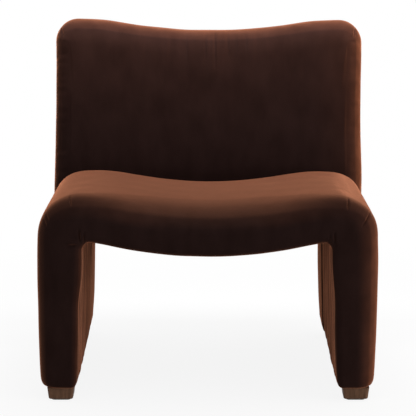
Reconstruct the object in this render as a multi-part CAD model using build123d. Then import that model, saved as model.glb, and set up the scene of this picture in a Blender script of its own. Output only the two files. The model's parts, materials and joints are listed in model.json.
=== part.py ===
"""Occasional chair: an upholstered seat arch and a taller upholstered back arch on four block feet.

Millimetres, +Z up, the front faces -Y. The origin lies on the floor under the middle of the chair.
While the pieces are built, Y runs from 0 at the front of the seat; export moves them all to the origin.
"""

import math
import os

from build123d import *

# Overall sizes
width = 700.0
foot_height = 27.0
unit_gap = 0.4

# Seat arch: a saddle top that runs over round shoulders into two slab legs
seat_crest = 427.0
seat_dip = 28.0
seat_fall = 22.0
seat_depth = 505.0
slab = 90.0
leg_width = 86.0
shoulder_radius = 80.0
crest_radius = 420.0
tunnel_corner = 16.0

# Back arch: the same saddle line on top, a leaning front and a rear that leans less
back_crest = 742.0
back_dip = 28.0
back_corner = 52.0
back_crest_radius = 420.0
back_leg_depth = 145.0
bend_height = 385.0
front_lean = 12.0
rear_lean = 4.5
bend_radius = 150.0

# Rounded edges of the padding
front_round = 38.0
tunnel_round = 20.0
seat_rear_round = 12.0
back_front_round = 24.0
back_rear_round = 24.0
back_tunnel_round = 10.0
bottom_round = 14.0
least_round = 1.0

# Layers, from the cover inwards
cover = 2.0
layer_gap = 0.2
wadding = 5.0
side_foam = 15.2
front_foam = 22.4
top_foam = 26.4
seat_foam = 38.6
rear_foam = 6.8
lining = 3.0
insulator = 3.0
rear_seam_inset = 10.0

# Frame boards
rib_board = 24.0
spring_rail_board = 24.0
spring_rail_inset = 6.0
base_rib_board = 32.0
base_rib_clear = 19.0
post_board = 24.0
back_rail_board = 22.0
top_rail_height = 78.0
middle_rail_height = 60.0
middle_rail_z = 500.0
shoulder_rail_width = 24.0
shoulder_rail_height = 36.0
shoulder_rail_drop = 12.0
bottom_rail_height = 30.0
block_height = 50.0
block_length = 62.0

# Springs and webbing
spring_count = 5
spring_pitch = 100.0
spring_width = 48.0
spring_rows = 16
spring_wire = 3.8
spring_gap = 1.2
spring_bend_room = 0.2
clip_length = 20.0
clip_wall = 1.3
wire_clear = 0.1
strap_count = 5
strap_width = 46.0
strap_thickness = 2.0
strap_margin = 24.0

# Joining bolts, along Y through both units
bolt_radius = 4.0
bolt_edge = 12.6
bolt_heights = (110.0, 200.0, 290.0)
bolt_head_radius = 6.5
bolt_head_height = 5.3
bolt_key_radius = 3.0
bolt_key_depth = 3.2
washer_radius = 9.5
washer_thickness = 1.6
tee_flange_radius = 9.5
tee_flange = 1.6
tee_barrel_radius = 5.4
tee_barrel = 11.0
bolt_clear = 0.5
thread_clear = 0.1

# Wood screws
screw_head_radius = 4.2
screw_head_height = 2.6
screw_radius = 2.0
screw_length = 50.0
screw_clear = 0.1

# Feet
foot_width = 56.0
foot_length = 58.0
foot_taper = 3.0
foot_edge_round = 7.0
foot_bottom_round = 4.0
foot_setback = 17.0
foot_side_shift = 2.0
glide_thickness = 2.5
glide_margin = 6.0
hanger_radius = 4.0
hanger_in_foot = 18.0
hanger_in_block = 28.0
insert_radius = 6.5
insert_length = 24.0
hole_depth_spare = 4.0

# Places worked out from the sizes above
half_width = width / 2
tunnel_half = half_width - leg_width
back_start = seat_depth + unit_gap
back_end = back_start + back_leg_depth
slope = seat_fall / seat_depth
tan_front = math.tan(math.radians(front_lean))
tan_rear = math.tan(math.radians(rear_lean))
cos_front = math.cos(math.radians(front_lean))
cos_rear = math.cos(math.radians(rear_lean))
top_round_z = back_crest - back_rear_round
overall_depth = (back_end + (top_round_z - bend_height) * tan_rear
                 - back_rear_round * (1 / cos_rear - 1))

# Insets of each layer, measured from the outer face of the cover
wadding_out = cover + layer_gap
wadding_in = wadding_out + wadding
foam_out = wadding_in + layer_gap
side_lining = foam_out + side_foam + layer_gap
rib_side = side_lining + lining
rib_top = foam_out + top_foam + layer_gap
rib_front = foam_out + front_foam + layer_gap
tunnel_lining = foam_out + layer_gap
rib_tunnel = tunnel_lining + lining + layer_gap
insulator_top = foam_out + seat_foam + layer_gap
insulator_low = insulator_top + insulator
spring_line = insulator_low + spring_gap + spring_wire / 2
spring_rail_top = spring_line + spring_wire / 2 + clip_wall + layer_gap
base_rib_front = foam_out + layer_gap
post_front = base_rib_front + base_rib_board
strap_front = post_front - layer_gap - strap_thickness
rear_lining = foam_out + rear_foam + layer_gap
post_rear = rear_lining + lining + layer_gap

# Levels and lines that several pieces share
board_low = foot_height + cover + layer_gap
rib_low = foot_height + bottom_round + layer_gap
block_top = board_low + block_height
rib_inner_x = tunnel_half + rib_tunnel
rib_outer_x = half_width - rib_side
low_board_x = tunnel_half + max(rib_tunnel, bottom_round + layer_gap)
foam_split_x = tunnel_half + foam_out
front_rib_back = rib_front + rib_board
rear_rib_back = seat_depth - cover - 2 * layer_gap
rear_rib_front = rear_rib_back - rib_board
lining_back = seat_depth - seat_rear_round
base_rib_back = back_start + post_front
beam_top = bend_height - base_rib_clear
bolt_x = rib_inner_x + bolt_edge
foot_x = half_width - leg_width / 2 - foot_side_shift
foot_places = (foot_setback + foot_length / 2, back_end - foot_setback - foot_length / 2)
post_inner_x = rib_outer_x - post_board
far = 2 * (width + back_crest + overall_depth)


def block(x0, x1, y0, y1, z0, z1):
    """A box between two corners."""
    middle = ((x0 + x1) / 2, (y0 + y1) / 2, (z0 + z1) / 2)
    return Pos(*middle) * Box(x1 - x0, y1 - y0, z1 - z0)


def bar_y(x, z, radius, y0, y1):
    """A round bar along Y."""
    return Pos(x, (y0 + y1) / 2, z) * Rot(90, 0, 0) * Cylinder(radius, y1 - y0)


def bar_z(x, y, radius, z0, z1):
    """A round bar along Z."""
    return Pos(x, y, (z0 + z1) / 2) * Cylinder(radius, z1 - z0)


def left_of(right):
    """The mirror image of a piece on the other side of the chair."""
    return mirror(right, about=Plane.YZ)


def both_sides(right):
    return [right, left_of(right)]


def rounded(radius, inset):
    """The radius that an edge keeps on a layer that lies further in."""
    return max(radius - inset, least_round)


# Outlines seen from the front

def saddle(half, corner, crest, dip, swell):
    """Tangent arcs from the right side over both crests and the dip to the left side."""
    reach = half - corner
    turn = 2 * math.atan(dip / reach)
    hollow = reach / math.sin(turn) - swell
    angle = math.degrees(turn)
    return [
        CenterArc((reach, crest - corner), corner, 0, 90),
        CenterArc((reach, crest - swell), swell, 90, angle),
        CenterArc((0, crest - dip + hollow), hollow, 270 + angle, -2 * angle),
        CenterArc((-reach, crest - swell), swell, 90 - angle, angle),
        CenterArc((-reach, crest - corner), corner, 90, 90),
    ]


def arch_face(half, corner, crest, dip, swell):
    """The filled outline under a saddle line, down past the floor."""
    edges = saddle(half, corner, crest, dip, swell)
    edges.append(Line((-half, crest - corner), (-half, -far)))
    edges.append(Line((-half, -far), (half, -far)))
    edges.append(Line((half, -far), (half, crest - corner)))
    return make_face(edges)


def seat_face(side, top):
    return arch_face(half_width - side, shoulder_radius - side, seat_crest - top, seat_dip,
                     crest_radius - top)


def back_face(side, top):
    return arch_face(half_width - side, rounded(back_corner, side), back_crest - top, back_dip,
                     back_crest_radius - top)


def tunnel_face(inset):
    """The opening between the legs: its top runs parallel to the saddle, one slab lower."""
    half = tunnel_half + inset
    crest = seat_crest - slab + inset
    swell = crest_radius - slab + inset
    reach = half_width - shoulder_radius
    turn = 2 * math.atan(seat_dip / reach)
    hollow = reach / math.sin(turn) - swell
    angle = math.degrees(turn)
    start = math.degrees(math.asin((reach - half) / swell))
    edge_z = crest - swell + swell * math.cos(math.radians(start))
    edges = [
        CenterArc((reach, crest - swell), swell, 90 + start, angle - start),
        CenterArc((0, crest - seat_dip + hollow), hollow, 270 + angle, -2 * angle),
        CenterArc((-reach, crest - swell), swell, 90 - angle, angle - start),
        Line((-half, edge_z), (-half, -far)),
        Line((-half, -far), (half, -far)),
        Line((half, -far), (half, edge_z)),
    ]
    face = make_face(edges)
    corners = [v for v in face.vertices() if abs(v.Y - edge_z) < layer_gap and abs(v.X) > reach / 2]
    return fillet(corners, tunnel_corner + inset)


def along_seat(face, y0, y1):
    """Extrude a front outline between two depths, falling to the rear with the seat."""
    placed = Pos(0, y0, -slope * y0) * (Plane.XZ * face)
    return extrude(placed, amount=(y1 - y0) * math.hypot(1, slope), dir=(0, 1, -slope))


def along_depth(face, y0, y1):
    """Extrude a front outline level between two depths."""
    placed = Pos(0, y0, 0) * (Plane.XZ * face)
    return extrude(placed, amount=y1 - y0, dir=(0, 1, 0))


def seat_top(x, inset):
    """Height at the front of the seat of the line that runs parallel to the saddle at an inset."""
    reach = half_width - shoulder_radius
    turn = 2 * math.atan(seat_dip / reach)
    swell = crest_radius - inset
    hollow = reach / math.sin(turn) - swell
    if abs(x) < hollow * math.sin(turn):
        return seat_crest - inset - seat_dip + hollow - math.sqrt(hollow ** 2 - x ** 2)
    return seat_crest - inset - swell + math.sqrt(swell ** 2 - (abs(x) - reach) ** 2)


def seat_tilt(x, inset):
    """Angle of that line at x, in degrees, positive where it falls towards +X."""
    step = 1.0
    return math.degrees(math.atan((seat_top(x - step, inset) - seat_top(x + step, inset)) / (2 * step)))


# Outlines seen from the side

def front_points(inset, low, high):
    """The back's front line at an inset: straight up, then leaning."""
    y = back_start + inset
    bend_z = bend_height - inset * math.tan(math.radians(front_lean / 2))
    top_y = back_start + (high - bend_height) * tan_front + inset / cos_front
    return [(y, low), (y, bend_z), (top_y, high)]


def rear_points(inset, low, high):
    """The back's rear line at an inset."""
    y = back_end - inset
    bend_z = bend_height + inset * math.tan(math.radians(rear_lean / 2))
    top_y = back_end + (high - bend_height) * tan_rear - inset / cos_rear
    return [(y, low), (y, bend_z), (top_y, high)]


def round_bend(face, point, radius):
    near = [v for v in face.vertices() if math.hypot(v.X - point[0], v.Y - point[1]) < layer_gap]
    return fillet(near, radius)


def side_face(first, second, first_bend, second_bend):
    """A closed side outline between two bent lines, with the bends rounded."""
    face = make_face(Polyline(*first, *reversed(second), close=True))
    face = round_bend(face, first[1], first_bend)
    return round_bend(face, second[1], second_bend)


def back_side(front_inset, rear_inset, low, high):
    return side_face(front_points(front_inset, low, high), rear_points(rear_inset, low, high),
                     bend_radius - front_inset, bend_radius + rear_inset)


def front_strip(inset, thickness, low, high):
    """A layer of the back that runs parallel to its front."""
    return side_face(front_points(inset, low, high), front_points(inset + thickness, low, high),
                     bend_radius - inset, bend_radius - inset - thickness)


def rear_strip(inset, thickness, low, high):
    """A layer of the back that runs parallel to its rear."""
    return side_face(rear_points(inset + thickness, low, high), rear_points(inset, low, high),
                     bend_radius + inset + thickness, bend_radius + inset)


def across(face, x0, x1):
    """Extrude a side outline between two places along X."""
    return extrude(Pos(x0, 0, 0) * (Plane.YZ * face), amount=x1 - x0, dir=(1, 0, 0))


# Padded forms, each at an inset from the outer face of the cover

def in_tunnel(point, inset):
    return (abs(point.X) < tunnel_half + inset + layer_gap
            and point.Z < seat_crest - slab + inset + layer_gap)


def level_edges(shape, y, low):
    """Edges that lie in an upright plane at y and don't touch the underside."""
    flat = shape.edges().filter_by_position(Axis.Y, y - layer_gap / 4, y + layer_gap / 4)
    return [e for e in flat if e.center().Z > low + least_round]


def round_underside(shape, low, inset):
    edges = shape.edges().filter_by_position(Axis.Z, low - layer_gap / 4, low + layer_gap / 4)
    return fillet(edges, rounded(bottom_round, inset))


def seat_form(inset):
    low = foot_height + inset
    y0 = inset
    y1 = seat_depth - inset
    form = along_seat(seat_face(inset, inset), y0, y1) & block(-far, far, -far, far, low, far)
    form = fillet(level_edges(form, y0, low), rounded(front_round, inset))
    form = fillet(level_edges(form, y1, low), rounded(seat_rear_round, inset))
    form = form - along_seat(tunnel_face(inset), -seat_depth, 2 * seat_depth)
    mouth = [e for e in level_edges(form, y0, low) if in_tunnel(e.center(), inset)]
    form = fillet(mouth, rounded(tunnel_round, inset))
    end = [e for e in level_edges(form, y1, low) if in_tunnel(e.center(), inset)]
    form = fillet(end, rounded(seat_rear_round, inset))
    return round_underside(form, low, inset)


def line_y(points, z):
    """Y of a bent side line at a height, without its rounding."""
    (low_y, _), (bend_y, bend_z), (top_y, high) = points
    if z < bend_z:
        return low_y
    return bend_y + (top_y - bend_y) * (z - bend_z) / (high - bend_z)


def back_tunnel(inset, y0, y1):
    """The opening between the back's legs, in line with the end of the seat's."""
    return Pos(0, 0, -seat_fall) * along_depth(tunnel_face(inset), y0, y1)


def edges_on_line(shape, points, low):
    """Outer edges of the back that lie on one of its side lines, bends included."""
    tangent = bend_radius * math.tan(math.radians(front_lean))
    found = []
    for edge in shape.edges():
        middle = edge @ 0.5
        away = abs(middle.Y - line_y(points, middle.Z))
        near_bend = abs(middle.Z - bend_height) < tangent
        limit = bend_radius * (1 / cos_front - 1) if near_bend else layer_gap
        ends_apart = abs((edge @ 0).Y - (edge @ 1).Y) + abs((edge @ 0).Z - (edge @ 1).Z)
        level = ends_apart < layer_gap and middle.Z < bend_height + tangent
        if away < limit and middle.Z > low + least_round and not level:
            found.append(edge)
    return found


def back_form(inset):
    low = foot_height + inset
    high = back_crest + back_dip
    front = front_points(inset, low, high)
    rear = rear_points(inset, low, high)
    form = across(back_side(inset, inset, low, high), -far, far)
    form = along_depth(back_face(inset, inset), 0, far) & form
    form = fillet(edges_on_line(form, front, low), rounded(back_front_round, inset))
    form = fillet(edges_on_line(form, rear, low), rounded(back_rear_round, inset))
    form = form - back_tunnel(inset, 0, far)
    for y in (back_start + inset, back_end - inset):
        mouth = [e for e in level_edges(form, y, low) if in_tunnel(e.center(), inset)]
        form = fillet(mouth, rounded(back_tunnel_round, inset))
    return round_underside(form, low, inset)


# Fasteners

def screw_shape(clear):
    """A countersunk wood screw, its head flush at the origin and its shank down -Z."""
    head = Cone(screw_radius + clear, screw_head_radius + clear, screw_head_height)
    shank = Cylinder(screw_radius + clear, screw_length + clear)
    return Pos(0, 0, -screw_head_height / 2) * head + Pos(0, 0, -(screw_length + clear) / 2) * shank


def place_screw(spot, clear):
    """Set a screw at a point, with its head facing along a direction."""
    point, facing = spot
    return Plane(origin=point, z_dir=facing) * screw_shape(clear)


def screwed(board, spots):
    """The board with the holes of the screws that reach it."""
    for spot in spots:
        board = board - place_screw(spot, screw_clear)
    return board


def bolt_spots():
    return [(side * bolt_x, z) for side in (-1, 1) for z in bolt_heights]


def bolted(board):
    """The board or layer with clear holes for the joining bolts."""
    for x, z in bolt_spots():
        board = board - bar_y(x, z, bolt_radius + bolt_clear, rear_rib_front - tee_flange, base_rib_back)
    return board


def joining_bolts():
    head_y = base_rib_back + washer_thickness
    tip_y = rear_rib_front - tee_flange
    bolts = []
    for x, z in bolt_spots():
        shank = bar_y(x, z, bolt_radius, tip_y, head_y)
        head = bar_y(x, z, bolt_head_radius, head_y, head_y + bolt_head_height)
        socket = Pos(x, head_y + bolt_head_height, z) * Rot(90, 0, 0)
        key = extrude(RegularPolygon(bolt_key_radius, 6), bolt_key_depth, both=True)
        bolts.append(shank + head - socket * key)
    return bolts


def joining_washers():
    rings = []
    for x, z in bolt_spots():
        ring = bar_y(x, z, washer_radius, base_rib_back, base_rib_back + washer_thickness)
        rings.append(ring - bar_y(x, z, bolt_radius + bolt_clear, 0, far))
    return rings


def joining_tee_nuts():
    nuts = []
    for x, z in bolt_spots():
        flange = bar_y(x, z, tee_flange_radius, rear_rib_front - tee_flange, rear_rib_front)
        barrel = bar_y(x, z, tee_barrel_radius, rear_rib_front - tee_flange, rear_rib_front + tee_barrel)
        nuts.append(flange + barrel - bar_y(x, z, bolt_radius + thread_clear, 0, far))
    return nuts


# Seat unit: frame

def rib_face():
    return seat_face(rib_side, rib_top) - tunnel_face(rib_tunnel)


def shoulder_rail_middle(y):
    """Centre of the right shoulder rail at a depth."""
    x = rib_inner_x + shoulder_rail_width / 2
    z = seat_crest - rib_top - shoulder_rail_drop - shoulder_rail_height / 2 - slope * y
    return x, z


def spring_rail_screw_x():
    return spring_pitch / 2


def seat_screw_spots():
    """Screws through the ribs into the shoulder rails and the spring rails."""
    spots = []
    for y, facing in ((rib_front, (0, -1, 0)), (rear_rib_back, (0, 1, 0))):
        x, z = shoulder_rail_middle(y)
        rail_x = spring_rail_screw_x()
        depth = (spring_rail_top + slab - rib_tunnel) / 2
        rail_z = seat_top(rail_x, depth) - slope * y
        for side in (-1, 1):
            spots.append(((side * x, y, z), facing))
            spots.append(((side * rail_x, y, rail_z), facing))
    return spots


def front_arch_rib():
    rib = along_seat(rib_face(), rib_front, front_rib_back)
    rib = rib & block(-far, far, -far, far, block_top, far)
    return screwed(rib, seat_screw_spots())


def rear_arch_rib():
    rib = along_seat(rib_face(), rear_rib_front, rear_rib_back)
    rib = bolted(rib & block(-far, far, -far, far, rib_low, far))
    barrel_end = rear_rib_front + tee_barrel + thread_clear
    for x, z in bolt_spots():
        rib = rib - bar_y(x, z, tee_barrel_radius + thread_clear, 0, barrel_end)
    return screwed(rib, seat_screw_spots())


def spring_rail(y0):
    face = seat_face(rib_side, spring_rail_top) - tunnel_face(rib_tunnel)
    rail = along_seat(face, y0, y0 + spring_rail_board)
    half = tunnel_half - spring_rail_inset
    return screwed(rail & block(-half, half, -far, far, 0, far), seat_screw_spots())


def shoulder_rail():
    x, z = shoulder_rail_middle(0)
    section = Pos(x, z) * Rectangle(shoulder_rail_width, shoulder_rail_height)
    return screwed(along_seat(section, front_rib_back, rear_rib_front), seat_screw_spots())


def bottom_rail():
    return block(low_board_x, rib_outer_x, rib_front + block_length, rear_rib_front, board_low,
                 board_low + bottom_rail_height)


def leg_lining(x0, top):
    """A flat hardboard side of the right leg, its top edge falling with the seat."""
    face = Pos(x0 + lining / 2, (top - far) / 2) * Rectangle(lining, top + far)
    board = along_seat(face, rib_front, lining_back)
    return board & block(-far, far, -far, far, rib_low, far)


def outer_lining():
    return leg_lining(half_width - rib_side, seat_crest - rib_top - shoulder_radius + rib_side)


def inner_lining():
    top = seat_crest - slab - tunnel_corner - tunnel_lining
    return leg_lining(tunnel_half + tunnel_lining, top)


def seat_under_lining():
    face = tunnel_face(tunnel_lining + lining) - tunnel_face(tunnel_lining)
    sheet = along_seat(face, rib_front, lining_back)
    half = tunnel_half - tunnel_corner - tunnel_lining
    return sheet & block(-half, half, -far, far, 0, far)


# Seat unit: springs

def spring_places():
    middle = (spring_count - 1) / 2
    return [(i - middle) * spring_pitch for i in range(spring_count)]


def spring_frame(x):
    """The place of a spring: it follows the tilt of the saddle and the fall of the seat."""
    fall = math.degrees(math.atan(slope))
    return Pos(x, 0, seat_top(x, spring_line)) * Rot(-fall, 0, 0) * Rot(0, seat_tilt(x, spring_line), 0)


def spring_ends():
    first = front_rib_back + spring_rail_board / 2
    last = rear_rib_front - spring_rail_board / 2
    stretch = math.hypot(1, slope)
    return first * stretch, last * stretch


def seat_springs():
    first, last = spring_ends()
    row = (last - first) / spring_rows
    half = spring_width / 2
    points = []
    for i in range(spring_rows + 1):
        start = -half if i % 2 == 0 else half
        points += [(start, first + i * row, 0), (-start, first + i * row, 0)]
    path = FilletPolyline(*points, radius=row / 2 - spring_bend_room)
    section = Plane(origin=path @ 0, z_dir=path % 0) * Circle(spring_wire / 2)
    spring = sweep(section, path=path)
    return [spring_frame(x) * spring for x in spring_places()]


def spring_clips():
    wide = spring_wire + 2 * clip_wall
    sleeve = Box(clip_length, wide, wide)
    sleeve = sleeve - Rot(0, 90, 0) * Cylinder(spring_wire / 2 + wire_clear, 2 * clip_length)
    return [spring_frame(x) * Pos(0, y, 0) * sleeve for x in spring_places() for y in spring_ends()]


def seat_insulator():
    face = seat_face(rib_side, insulator_top) - seat_face(rib_side, insulator_low)
    margin = spring_rail_board + layer_gap
    sheet = along_seat(face, front_rib_back + margin, rear_rib_front - margin)
    half = tunnel_half - spring_rail_inset
    return sheet & block(-half, half, -far, far, 0, far)


# Seat unit: padding

def between_legs(y0, y1):
    return block(-foam_split_x, foam_split_x, y0, y1, 0, far)


def beside_legs():
    return block(foam_split_x, far, -far, far, 0, far)


def seat_hollow():
    """The room that the frame takes inside the seat's padding."""
    face = seat_face(side_lining - layer_gap, rib_top - layer_gap)
    room = along_seat(face, rib_front - layer_gap, 2 * seat_depth)
    side_x = rib_outer_x + lining + layer_gap
    leg = block(tunnel_half, side_x, rib_front - layer_gap, far, 0, block_top)
    return room + leg + left_of(leg)


def seat_pad(padding):
    pad = padding & between_legs(front_rib_back, seat_depth)
    below = along_seat(seat_face(0, insulator_top - layer_gap), front_rib_back, rear_rib_front)
    over_rib = along_seat(seat_face(0, rib_top - layer_gap), rear_rib_front, 2 * seat_depth)
    return pad - below - over_rib


# Back unit: frame

def back_screw_spots():
    """Screws from the base rib into the posts, and from the posts into the rails."""
    post_x = (post_inner_x + rib_outer_x) / 2
    spots = []
    for z in bolt_heights:
        spots += [((side * post_x, back_start + base_rib_front, z), (0, -1, 0)) for side in (-1, 1)]
    for z in back_rail_screw_heights():
        y = line_y(front_points(post_front + back_rail_board / 2, 0, back_crest), z)
        spots += [((side * rib_outer_x, y, z), (side, 0, 0)) for side in (-1, 1)]
    return spots


def top_rail_low():
    return back_crest - rib_top - top_rail_height


def back_rail_screw_heights():
    heights = []
    for low, tall in ((top_rail_low(), top_rail_height), (middle_rail_z, middle_rail_height)):
        heights += [low + tall / 4, low + tall / 2]
    return heights


def back_base_rib():
    rib = along_depth(seat_face(rib_side, 0), back_start + base_rib_front, base_rib_back)
    rib = rib & block(-far, far, -far, far, rib_low, beam_top)
    rib = rib - back_tunnel(rib_tunnel, 0, far)
    return screwed(bolted(rib), back_screw_spots())


def back_post():
    outline = back_side(post_front, post_rear, block_top, back_crest)
    post = across(outline, post_inner_x, rib_outer_x)
    post = post & along_depth(back_face(rib_side, rib_top), 0, far)
    return screwed(post, back_screw_spots())


def back_rail(low, high):
    strip = front_strip(post_front, back_rail_board, 0, back_crest)
    rail = across(strip, -post_inner_x, post_inner_x) & block(-far, far, -far, far, low, high)
    return screwed(rail & along_depth(back_face(rib_side, rib_top), 0, far), back_screw_spots())


def back_webbing():
    sheet = across(front_strip(strap_front, strap_thickness, 0, back_crest), -rib_outer_x, rib_outer_x)
    first = beam_top + strap_margin
    last = back_crest - back_dip - rib_top - strap_margin - strap_width
    straps = []
    for i in range(strap_count):
        low = first + i * (last - first) / (strap_count - 1)
        straps.append(sheet & block(-far, far, -far, far, low, low + strap_width))
    return straps


def back_inner_lining():
    """The hardboard on the tunnel side of the back's right leg."""
    top = seat_crest - slab - tunnel_corner - tunnel_lining - seat_fall
    x0 = tunnel_half + tunnel_lining
    return block(x0, x0 + lining, back_start + back_tunnel_round, back_end - rear_lining, rib_low, top)


def back_under_lining():
    face = tunnel_face(tunnel_lining + lining) - tunnel_face(tunnel_lining)
    sheet = along_depth(face, back_start + back_tunnel_round, back_end - rear_lining)
    half = tunnel_half - tunnel_corner - tunnel_lining
    return Pos(0, 0, -seat_fall) * (sheet & block(-half, half, -far, far, 0, far))


def back_rear_lining():
    sheet = across(rear_strip(rear_lining, lining, rib_low, back_crest), -far, far)
    sheet = sheet & along_depth(back_face(rib_side, rib_top), 0, far)
    return sheet - back_tunnel(rib_tunnel, 0, far)


# Back unit: padding

def back_hollow():
    """The room that the frame takes inside the back's padding."""
    upper = across(back_side(strap_front - layer_gap, rear_lining - layer_gap, 0, back_crest), -far, far)
    lower = block(-far, far, back_start, base_rib_back, 0, beam_top + layer_gap)
    leg = block(-far, far, back_start, back_end - rear_lining + layer_gap, 0, block_top)
    room = along_depth(back_face(rib_side - layer_gap, rib_top - layer_gap), 0, far)
    return (upper + lower + leg) & room


def behind_rear_line(inset):
    """Everything behind a line parallel to the back's rear."""
    line = rear_points(inset, 0, back_crest + back_dip)
    face = make_face(Polyline(*line, (far, back_crest + back_dip), (far, 0), close=True))
    return across(round_bend(face, line[1], bend_radius + inset), -far, far)


# Feet

def foot_centres():
    return [(side * foot_x, y) for side in (-1, 1) for y in foot_places]


def foot(x, y):
    top = RectangleRounded(foot_width, foot_length, foot_edge_round)
    low_round = foot_edge_round - foot_taper / 2
    low = RectangleRounded(foot_width - 2 * foot_taper, foot_length - 2 * foot_taper, low_round)
    body = loft([Pos(0, 0, glide_thickness) * low, Pos(0, 0, foot_height) * top], ruled=True)
    body = fillet(body.faces().sort_by(Axis.Z)[0].edges(), foot_bottom_round)
    hole_low = foot_height - hanger_in_foot
    hole = bar_z(0, 0, hanger_radius + thread_clear, hole_low, far)
    return Pos(x, y, 0) * (body - hole)


def foot_glides():
    wide = foot_width - 2 * (foot_taper + glide_margin)
    long = foot_length - 2 * (foot_taper + glide_margin)
    pad = extrude(RectangleRounded(wide, long, foot_edge_round), glide_thickness)
    return [Pos(x, y, 0) * pad for x, y in foot_centres()]


def hanger_bolts():
    low = foot_height - hanger_in_foot
    return [bar_z(x, y, hanger_radius, low, board_low + hanger_in_block) for x, y in foot_centres()]


def foot_inserts():
    tubes = []
    for x, y in foot_centres():
        tube = bar_z(x, y, insert_radius, board_low, board_low + insert_length)
        tubes.append(tube - bar_z(x, y, hanger_radius + thread_clear, 0, far))
    return tubes


def foot_blocks():
    depths = ((rib_front, rib_front + block_length), (base_rib_back, back_end - post_rear))
    blocks = []
    for y0, y1 in depths:
        blocks += both_sides(block(low_board_x, rib_outer_x, y0, y1, board_low, block_top))
    for i, board in enumerate(blocks):
        for x, y in foot_centres():
            hole_top = board_low + hanger_in_block + hole_depth_spare
            board = board - bar_z(x, y, insert_radius + thread_clear, 0, hole_top)
        blocks[i] = board
    return blocks


def hung_through(layer):
    """The layer with clear holes for the hanger bolts of the feet."""
    for x, y in foot_centres():
        layer = layer - bar_z(x, y, hanger_radius + bolt_clear, 0, block_top)
    return layer


# Nodes

def seat_nodes():
    skin = bolted(hung_through(seat_form(0) - seat_form(cover)))
    tunnel = along_seat(tunnel_face(cover + layer_gap / 2), tunnel_round, seat_depth - seat_rear_round)
    layer = seat_form(wadding_out) - seat_form(wadding_in)
    layer = layer & block(-far, far, -far, seat_depth - foam_out, foot_height + wadding_in, far)
    form = seat_form(foam_out)
    padding = form - seat_hollow() - along_seat(tunnel_face(rib_tunnel), rib_front, 2 * seat_depth)
    leg_foam = padding & beside_legs()
    return {
        "seat_cover": skin - tunnel,
        "seat_tunnel_cover": skin & tunnel,
        "seat_wadding": layer,
        "seat_foam": seat_pad(form),
        "seat_front_foam": padding & between_legs(-far, front_rib_back),
        "right_leg_foam": leg_foam,
        "left_leg_foam": left_of(leg_foam),
        "seat_insulator": seat_insulator(),
        "seat_springs": seat_springs(),
        "spring_clips": spring_clips(),
        "front_spring_rail": spring_rail(front_rib_back),
        "rear_spring_rail": spring_rail(rear_rib_front - spring_rail_board),
        "front_arch_rib": front_arch_rib(),
        "rear_arch_rib": rear_arch_rib(),
        "right_shoulder_rail": shoulder_rail(),
        "left_shoulder_rail": left_of(shoulder_rail()),
        "right_bottom_rail": bottom_rail(),
        "left_bottom_rail": left_of(bottom_rail()),
        "right_outer_lining": outer_lining(),
        "left_outer_lining": left_of(outer_lining()),
        "right_inner_lining": inner_lining(),
        "left_inner_lining": left_of(inner_lining()),
        "seat_under_lining": seat_under_lining(),
        "seat_frame_screws": [place_screw(spot, 0) for spot in seat_screw_spots()],
    }


def back_nodes():
    skin = bolted(hung_through(back_form(0) - back_form(cover)))
    rear_panel = behind_rear_line(rear_seam_inset)
    layer = back_form(wadding_out) - back_form(wadding_in)
    layer = bolted(layer & block(-far, far, -far, far, foot_height + wadding_in, far))
    padding = back_form(foam_out) - back_hollow()
    middle = padding & between_legs(-far, far)
    rear_layer = behind_rear_line(rear_lining - layer_gap)
    side = padding & beside_legs()
    return {
        "back_cover": skin - rear_panel,
        "back_rear_cover": skin & rear_panel,
        "back_wadding": layer,
        "back_foam": middle - rear_layer,
        "back_rear_foam": middle & rear_layer,
        "right_back_side_foam": side,
        "left_back_side_foam": left_of(side),
        "back_base_rib": back_base_rib(),
        "right_back_post": back_post(),
        "left_back_post": left_of(back_post()),
        "back_top_rail": back_rail(top_rail_low(), back_crest),
        "back_middle_rail": back_rail(middle_rail_z, middle_rail_z + middle_rail_height),
        "back_webbing": back_webbing(),
        "right_back_inner_lining": back_inner_lining(),
        "left_back_inner_lining": left_of(back_inner_lining()),
        "back_under_lining": back_under_lining(),
        "back_rear_lining": back_rear_lining(),
        "back_frame_screws": [place_screw(spot, 0) for spot in back_screw_spots()],
    }


def foot_nodes():
    front_y, rear_y = foot_places
    return {
        "front_right_foot": foot(foot_x, front_y),
        "front_left_foot": foot(-foot_x, front_y),
        "rear_right_foot": foot(foot_x, rear_y),
        "rear_left_foot": foot(-foot_x, rear_y),
        "foot_blocks": foot_blocks(),
        "foot_hanger_bolts": hanger_bolts(),
        "foot_inserts": foot_inserts(),
        "foot_glides": foot_glides(),
    }


def joining_nodes():
    return {
        "joining_bolts": joining_bolts(),
        "joining_washers": joining_washers(),
        "joining_tee_nuts": joining_tee_nuts(),
    }


def export_nodes(nodes):
    """Move each piece to the chair's origin and write it."""
    os.makedirs("parts", exist_ok=True)
    to_origin = Pos(0, -overall_depth / 2, 0)
    for name, shape in nodes.items():
        pieces = shape if isinstance(shape, list) else [shape]
        solids = [to_origin * solid for piece in pieces for solid in piece.solids()]
        export_step(solids[0] if len(solids) == 1 else Compound(children=solids), f"parts/{name}.step")


export_nodes(seat_nodes())
export_nodes(back_nodes())
export_nodes(foot_nodes())
export_nodes(joining_nodes())
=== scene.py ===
"""Looks of the occasional chair: padded velvet over the seat arch and the back arch, on dark wooden feet.

Metres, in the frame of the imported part: +Z up, the front faces -Y, the origin on the floor.
"""

import json
import math

import bmesh
import bpy
import numpy as np
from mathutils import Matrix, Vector, kdtree


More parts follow.
